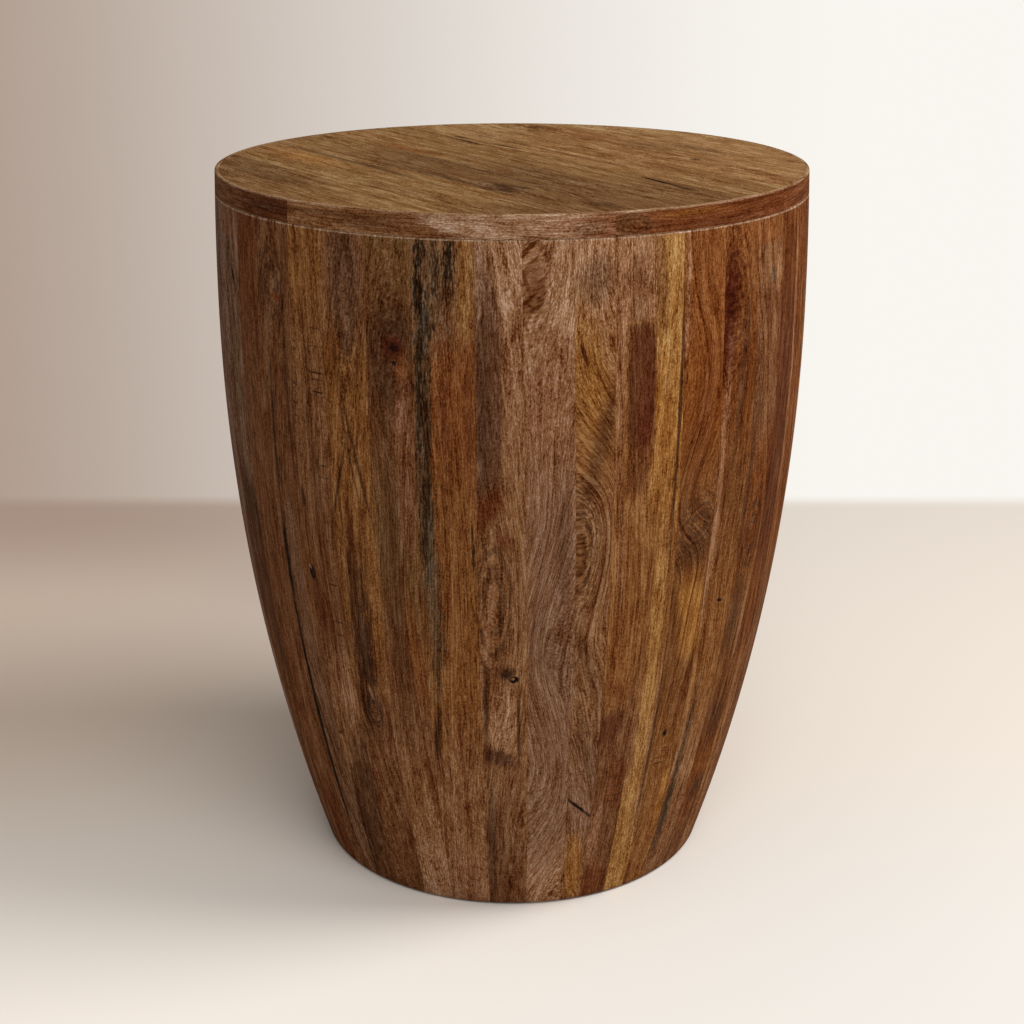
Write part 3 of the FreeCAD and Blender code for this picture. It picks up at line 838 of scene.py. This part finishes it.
BOARD_CONTRAST = 0.6
BOARD_LOOKS = (
    look("sand clay", (-210, -25), wander=4, marks=(
        spot(-185, -40, 8, 60, "bark", 0.3, 0, 0.9, 0.5),)),
    look("clay sand sand biscuit", (-110, -18), ring=4.5, wander=5, marks=(
        spot(-101, -75, 2.2, 125, "bark", 0.75, 0.6, 0.8, 0.5),
        spot(-121, -109, 13, 44, "gold", 0.6, 0, 0.8), eye(-86, -42, 17, 22, "bark", 0.6, 0, 0.4),
        spot(-140, 60, 5, 70, "clay", 0.6, 0, 0.9, 0.5))),
    look("clay clay sand", (-60, -22), ring=4.5, marks=(
        eye(-72, 92, 17, 34, "bark", 0.6, 6, 0.7), spot(-70, 92, 5, 16, "walnut", 0.85, 12, 0.6, 0.5),
        spot(-77, 108, 4, 7, "walnut", 0.7, -20, 0.7, 0.5), spot(-60, 104, 4, 6, "bark", 0.8, 0, 0.7),
        spot(-53, 189, 7, 14, "bark", 0.6, 0, 0.8), spot(-43, 40, 1.8, 120, "bark", 0.6, 0.8, 0.8, 0.5),
        spot(-82, 30, 1.6, 60, "bark", 0.6, 0, 0.9, 0.5))),
    look("clay clay sand biscuit", (-30, -20), ring=4, wander=5, marks=(
        spot(-13, 40, 1.4, 110, "bark", 0.55, -0.6, 0.8, 0.5),
        spot(-31, -106, 9, 40, "amber", 0.65, 0, 0.8), spot(-26, 90, 1.2, 60, "bark", 0.5, 0.8, 0.8, 0.5))),
    look("clay sand sand", (30, -15), ring=4.5, marks=(
        spot(37, 138, 2.0, 22, "pith", 1.0, 5, 0.5, 0.4), spot(33, 172, 3.4, 9, "walnut", 0.9, 0, 0.7, 0.5),
        spot(32, -112, 2.2, 20, "pith", 0.9, 4, 0.6, 0.4),
        spot(43, -73, 1.9, 16, "walnut", 1.0, -4, 0.6, 0.4),
        spot(41, -138, 2.6, 8, "walnut", 0.8, 0, 0.7, 0.5),
        spot(14, -30, 1.2, 60, "bark", 0.5, 0, 0.8, 0.5))),
    look("sand biscuit oat", (80, -25), wander=5, marks=(
        spot(58, 10, 1.6, 80, "bark", 0.55, 1, 0.8, 0.5), spot(84, 80, 1.4, 70, "clay", 0.7, 0, 0.8, 0.5),
        spot(62, -110, 8, 40, "clay", 0.5, 0, 0.9))),
    look("biscuit biscuit biscuit oat", (120, -18), ring=4.5, wander=7, marks=(
        eye(127, -150, 20, 36, "clay", 0.7, 0, 0.7), spot(128, -153, 6, 7, "walnut", 0.85, 0, 0.6, 0.4),
        spot(137, -100, 13, 60, "amber", 0.5, 0, 0.9, 0.5),
        spot(125, 70, 2.8, 6, "walnut", 0.85, 0, 0.6, 0.4),
        spot(141, -8, 13, 30, "clay", 0.75, 0, 0.8, 0.4),
        spot(144, 60, 9, 18, "russet", 0.35, 0, 0.9, 0.4))),
    look("biscuit oat", (200, -25), wander=4, marks=(
        spot(164, 26, 7, 34, "mauve", 0.5, 0, 0.8, 0.4), spot(176, -60, 2, 50, "clay", 0.7, 0, 0.9, 0.5))),
)


# The rim's strips, with their tones from the far end back to the start and marks at heights on the edge

BENT_FIGURE = dict(ring=3.4, wander=3, contrast=0.7, pores=0.25)
STRIP_LOOKS = (
    look("rose blush blush fawn tan tan", (8, -30), **BENT_FIGURE, marks=(
        spot(-26, 8, 5, 20, "umber", 0.5, 0, 0.8, 0.5), spot(-34, 11, 1.4, 50, "umber", 0.5, 0, 0.8, 0.4),
        spot(2, 9, 6, 24, "pink", 0.6, 0, 0.8), spot(13, 6, 4, 9, "umber", 0.4, 0, 0.8, 0.5))),
    look("russet russet russet brown", (8, -12), **BENT_FIGURE, marks=(
        eye(21, 6, 9, 14, "umber", 0.6, 0, 0.6), spot(40, 4, 2, 40, "chestnut", 0.6, 0, 0.8, 0.4),
        spot(33, 12, 2, 24, "gold", 0.5, 0, 0.8))),
    look("brown fawn brown russet", (30, 5), **BENT_FIGURE, marks=(
        spot(59.5, 8, 12, 6, "russet", 0.7), spot(75, 5, 2, 50, "umber", 0.5, 0, 0.8, 0.4))),
    look("honey brown fawn", (8, -25), ring=3.6, wander=4, marks=(
        spot(190, 7, 3, 26, "umber", 0.5, 0, 0.8, 0.5),)),
    look("chestnut brown brown fawn", (25, 0), **BENT_FIGURE, marks=(
        spot(311, 9, 3, 24, "walnut", 0.6, 0, 0.8, 0.5), spot(290, 5, 2, 40, "fawn", 0.4, 0, 0.8))),
)
BLOCK_LOOK = look("tan fawn", (0, -300), ring=6)
PLASTIC_DARK = (46, 38, 33)
PLASTIC_LIGHT = (58, 49, 43)
PLASTIC_SCUFF = (92, 82, 74)

# Painted highlights, where light catches an edge: a light line at a stave's head, and on a strip's upper
# arris and lower edge. The sand line over a strip's top is partly the boards' own tone and partly a painted
# highlight. Each line of a strip has its height and half width in mm, its tone, its strength and its
# softness
HEAD_HIGHLIGHT = 542
HEAD_HIGHLIGHT_REACH = 60
STRIP_TONE_AND_HIGHLIGHT_REACH = 2000
STRIP_TONE_AND_HIGHLIGHT_LINES = ((17.3, 1.2, "sand", 0.9, 0.08), (15.9, 0.7, "highlight_bone", 0.4, 0.4),
               (-0.3, 0.7, "highlight_bone", 0.55, 0.1))

# The lengths over which the tones change, in mm, and the seeds that set the pieces' figures apart
STAVE_LENGTH = 544
BOARD_REACH = 220
BLOCK_FOOT = 500
BLOCK_LENGTH = 40
STAVE_SEED_STEP = 1.37
STRIP_SEED = 60.5
BOARD_SEED = 80.3
BLOCK_SEED = 91.0


def stave_locator(index):
    """Finds a mark's place across and along the plank."""
    def locate(azimuth, height):
        z = FOOT_Z + height / MM * (TOP_Z - FOOT_Z) / TOP_Z
        across, _, along = plank_point(index, radians(azimuth), turned_radius(z), z)
        return across * MM, along * MM
    return locate


def strip_locator(index):
    """A strip's marks have their height above its lower edge."""
    def locate(azimuth, height):
        return height, radians(azimuth - RIM_JOINTS[index]) * TOP_RADIUS * MM
    return locate


def flat_locator(across, along):
    return across, along


def dress(piece, material):
    piece.data.materials.clear()
    piece.data.materials.append(material)


def soften(piece, width):
    """Breaks a carried-over part's sharp arrises, as sanding or moulding does."""
    bevel = piece.modifiers.new("soft_edges", "BEVEL")
    bevel.width = width
    bevel.segments = 2
    bevel.limit_method = "ANGLE"
    bevel.angle_limit = BEVEL_FROM


def make_staves():
    for index in range(STAVE_COUNT):
        number = index + 1
        wood = STAVE_LOOKS.get(number) or hidden_look(number)
        middle = degrees(stave_middle(index))
        # A painted highlight: a light line along the head, where light catches the groove's chamfer.
        head_highlight = block(middle, HEAD_HIGHLIGHT, HEAD_HIGHLIGHT_REACH, 1.0, "highlight_bone", 0.7, 0, 0.1, 0.02)
        wood = {**wood, "marks": (*wood["marks"], head_highlight)}
        name = "stave_wood_%02d" % number
        seed = index * STAVE_SEED_STEP
        dress(make_stave(index), wood_material(name, wood, stave_locator(index), STAVE_LENGTH, seed))


def make_strips():
    for index, wood in enumerate(STRIP_LOOKS):
        start, stop = RIM_JOINTS[index:index + 2]
        # Painted highlights on the upper arris and the lower edge, and over the top the boards' tone,
        # partly a painted highlight.
        lines = [block(start, height, width, STRIP_TONE_AND_HIGHLIGHT_REACH, tone, strength, 0, soft, 0.0)
                 for height, width, tone, strength, soft in STRIP_TONE_AND_HIGHLIGHT_LINES]
        wood = {**wood, "marks": (*wood["marks"], *lines)}
        length = radians(stop - start) * TOP_RADIUS * MM
        name = "strip_wood_%d" % (index + 1)
        seed = STRIP_SEED + index
        dress(make_strip(index), wood_material(name, wood, strip_locator(index), length, seed))


def dress_boards():
    for index, wood in enumerate(BOARD_LOOKS):
        wood = {**wood, "contrast": BOARD_CONTRAST}
        name = "board_wood_%d" % (index + 1)
        seed = BOARD_SEED + index
        material = wood_material(name, wood, flat_locator, 2 * BOARD_REACH, seed, -BOARD_REACH)
        dress(board_with_grain(index), material)


def dress_blocks():
    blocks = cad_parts["corner_blocks"]
    add_grain(blocks.data, [tuple(vertex.co) for vertex in blocks.data.vertices])
    material = wood_material("block_wood", BLOCK_LOOK, flat_locator, BLOCK_LENGTH, BLOCK_SEED, BLOCK_FOOT)
    dress(blocks, material)
    soften(blocks, BLOCK_EASE)


def glide_plastic():
    """Dark brown moulded plastic with a fine matt grain and light scuffs."""
    material, tree, shader = new_material("glide_plastic")
    place = stretch(source(tree, "TexCoord", {}, "Object"), (MM, MM, MM))
    grit = noise(place, (3, 3, 3))
    scuff = ramp(noise(place, (0.5, 0.12, 0.5), detail=3.0, roughness=0.6), 0.55, 0.72)
    tone = blend(grit, linear(PLASTIC_DARK), linear(PLASTIC_LIGHT))
    feed(shader, {
        "Base Color": blend(scuff * 0.5, tone, linear(PLASTIC_SCUFF)), "Roughness": scuff * 0.2 + 0.5,
        "Normal": relief(grit, strength=0.3, distance=0.0002)})
    return material


def dress_glides():
    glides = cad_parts["floor_glides"]
    dress(glides, glide_plastic())
    soften(glides, GLIDE_EASE)


make_staves()
make_strips()
dress_boards()
dress_blocks()
dress_glides()

# Stage, light and camera. The tones are as the screen shows them, and the front view doesn't show BESIDE

FLOOR_REACH = 40.0
FRONT = 1.43
# The floor's tones below hold painted light and shade: darker at the back left, paler to the right and the
# front.
FLOOR_NEAR_LEFT = (252, 243, 233)
SHADED_FLOOR_LEFT = (216, 196, 178)
SHADED_FLOOR_FAR_LEFT = (186, 162, 146)
FLOOR_NEAR_RIGHT = (224, 221, 216)
FLOOR_RIGHT = (226, 217, 206)
SHADED_WALL_LEFT = (172, 152, 138)
WALL_RIGHT = (249, 246, 240)
BESIDE = (236, 229, 221)
NEAR_FADE = (-0.26, 0.2)
FAR_FADE = (0.4, 0.76)
ACROSS_FADE = (-0.6, 0.4)
BESIDE_FADE = (0.3, 0.55)
WALL_FADE = (-0.36, 0.2)
WALL_LINE = (0.79, 0.85)
NEAR_CAMERA = (-1.0, -0.6)
PAINT_EDGE = (0.9, 1.6)
SKY = (240, 235, 228)
LIGHT_COLOUR = (1.0, 0.985, 0.965)
FILL_STRENGTH = 0.38
AIM_HEIGHT = 0.28
CAMERA_PLACE = (0.0, -1.43365, 0.776)
CAMERA_DROP = 19.33
SENSOR_WIDTH = 36
LENS = 64.97


def shaded_floor_paint(x, y, outside):
    """Painted light and shade on the floor: darker and warmer at the back left, paler to the right and the
    front.
    """
    near = fade(y, *NEAR_FADE)
    left = blend(ramp(y, *FAR_FADE), linear(SHADED_FLOOR_LEFT), linear(SHADED_FLOOR_FAR_LEFT))
    left = blend(near, left, linear(FLOOR_NEAR_LEFT))
    right = blend(near, linear(FLOOR_RIGHT), linear(FLOOR_NEAR_RIGHT))
    paint = blend(ramp(x, *ACROSS_FADE), left, right)
    return blend(outside, paint, linear(BESIDE))


def seen_rays(tree):
    """1 for rays that see a thing, straight, mirrored or through, and 0 for the others."""
    labels = ("Is Camera Ray", "Is Glossy Ray", "Is Transmission Ray")
    straight, mirrored, through = (source(tree, "LightPath", {}, label) for label in labels)
    return maths("MAXIMUM", maths("MAXIMUM", straight, mirrored), through)


def mix_shaders(factor, first, second, last):
    """Leads two shaders, mixed by a factor, to the last node."""
    feed(last, {"Surface": derived("MixShader", {0: factor, 1: first, 2: second})})


def floor_material():
    """Pale paint with painted light and shade, which past a soft line behind the table glows as a studio
    wall, darker to the left by painted shade, and casts no light.
    """
    material, tree, shader = new_material("studio_floor_with_painted_shade")
    x, y, _ = split(source(tree, "TexCoord", {}, "Object"))
    spread = x / maths("MAXIMUM", y + FRONT, 0.4)
    outside = ramp(abs(spread), *BESIDE_FADE)
    paint = shaded_floor_paint(x, y, outside)
    feed(shader, {"Base Color": paint, "Roughness": 0.7, "Specular IOR Level": 0.2})
    # The wall's glow is darker to the left and white to the right: painted shade.
    shaded_wall_tone = blend(ramp(spread, *WALL_FADE), linear(SHADED_WALL_LEFT), linear(WALL_RIGHT))
    wall = derived("Emission", {"Color": blend(outside, shaded_wall_tone, linear(BESIDE))})
    away = maths("SQRT", x * x + y * y)
    unseen = maths("MAXIMUM", outside, fade(y, *NEAR_CAMERA))
    beyond = maths("MAXIMUM", ramp(y, *WALL_LINE), ramp(away, *PAINT_EDGE) * unseen)
    lit = Field(tree, shader.outputs[0])
    mix_shaders(beyond * seen_rays(tree), lit, wall, tree.nodes["Material Output"])
    return material


def make_floor():
    mesh = bpy.data.meshes.new("studio_floor")
    corners = [(x * FLOOR_REACH, y * FLOOR_REACH, 0) for x, y in ((-1, -1), (1, -1), (1, 1), (-1, 1))]
    mesh.from_pydata(corners, [], [(0, 1, 2, 3)])
    floor = new_object("studio_floor", mesh)
    mesh.materials.append(floor_material())


def make_world():
    """Even fill for the light, and a pale tone where the camera sees past the floor."""
    world = bpy.data.worlds.new("studio_world")
    bpy.context.scene.world = world
    world.use_nodes = True
    tree = world.node_tree
    background = tree.nodes["Background"]
    feed(background, {"Color": (*LIGHT_COLOUR, 1.0), "Strength": FILL_STRENGTH})
    fill = Field(tree, background.outputs[0])
    pale = source(tree, "Background", {"Color": linear(SKY)})
    mix_shaders(source(tree, "LightPath", {}, "Is Camera Ray"), fill, pale, tree.nodes["World Output"])


def add_lamp(name, azimuth, elevation, distance, size, energy):
    """A round soft lamp aimed at the table's middle, with its angles in degrees."""
    lamp = bpy.data.lights.new(name, "AREA")
    lamp.shape = "DISK"
    lamp.size = size
    lamp.energy = energy
    lamp.color = LIGHT_COLOUR
    light = new_object(name, lamp)
    turn = radians(azimuth)
    rise = radians(elevation)
    light.location = around(turn, distance * cos(rise), AIM_HEIGHT + distance * sin(rise))
    light.rotation_euler = (pi / 2 - rise, 0, turn)


def make_camera():
    """The photograph's viewing angle: in front, a little above the top, looking down."""
    data = bpy.data.cameras.new("studio_camera")
    data.sensor_width = SENSOR_WIDTH
    data.lens = LENS
    camera = new_object("studio_camera", data)
    camera.location = CAMERA_PLACE
    camera.rotation_euler = (radians(90 - CAMERA_DROP), 0, 0)
    bpy.context.scene.camera = camera


make_floor()
make_world()
add_lamp("key_light", azimuth=84, elevation=45, distance=2.7, size=1.3, energy=54)
add_lamp("front_light", azimuth=16, elevation=46, distance=2.9, size=2.0, energy=36)
make_camera()
bpy.context.scene.view_settings.view_transform = "Standard"
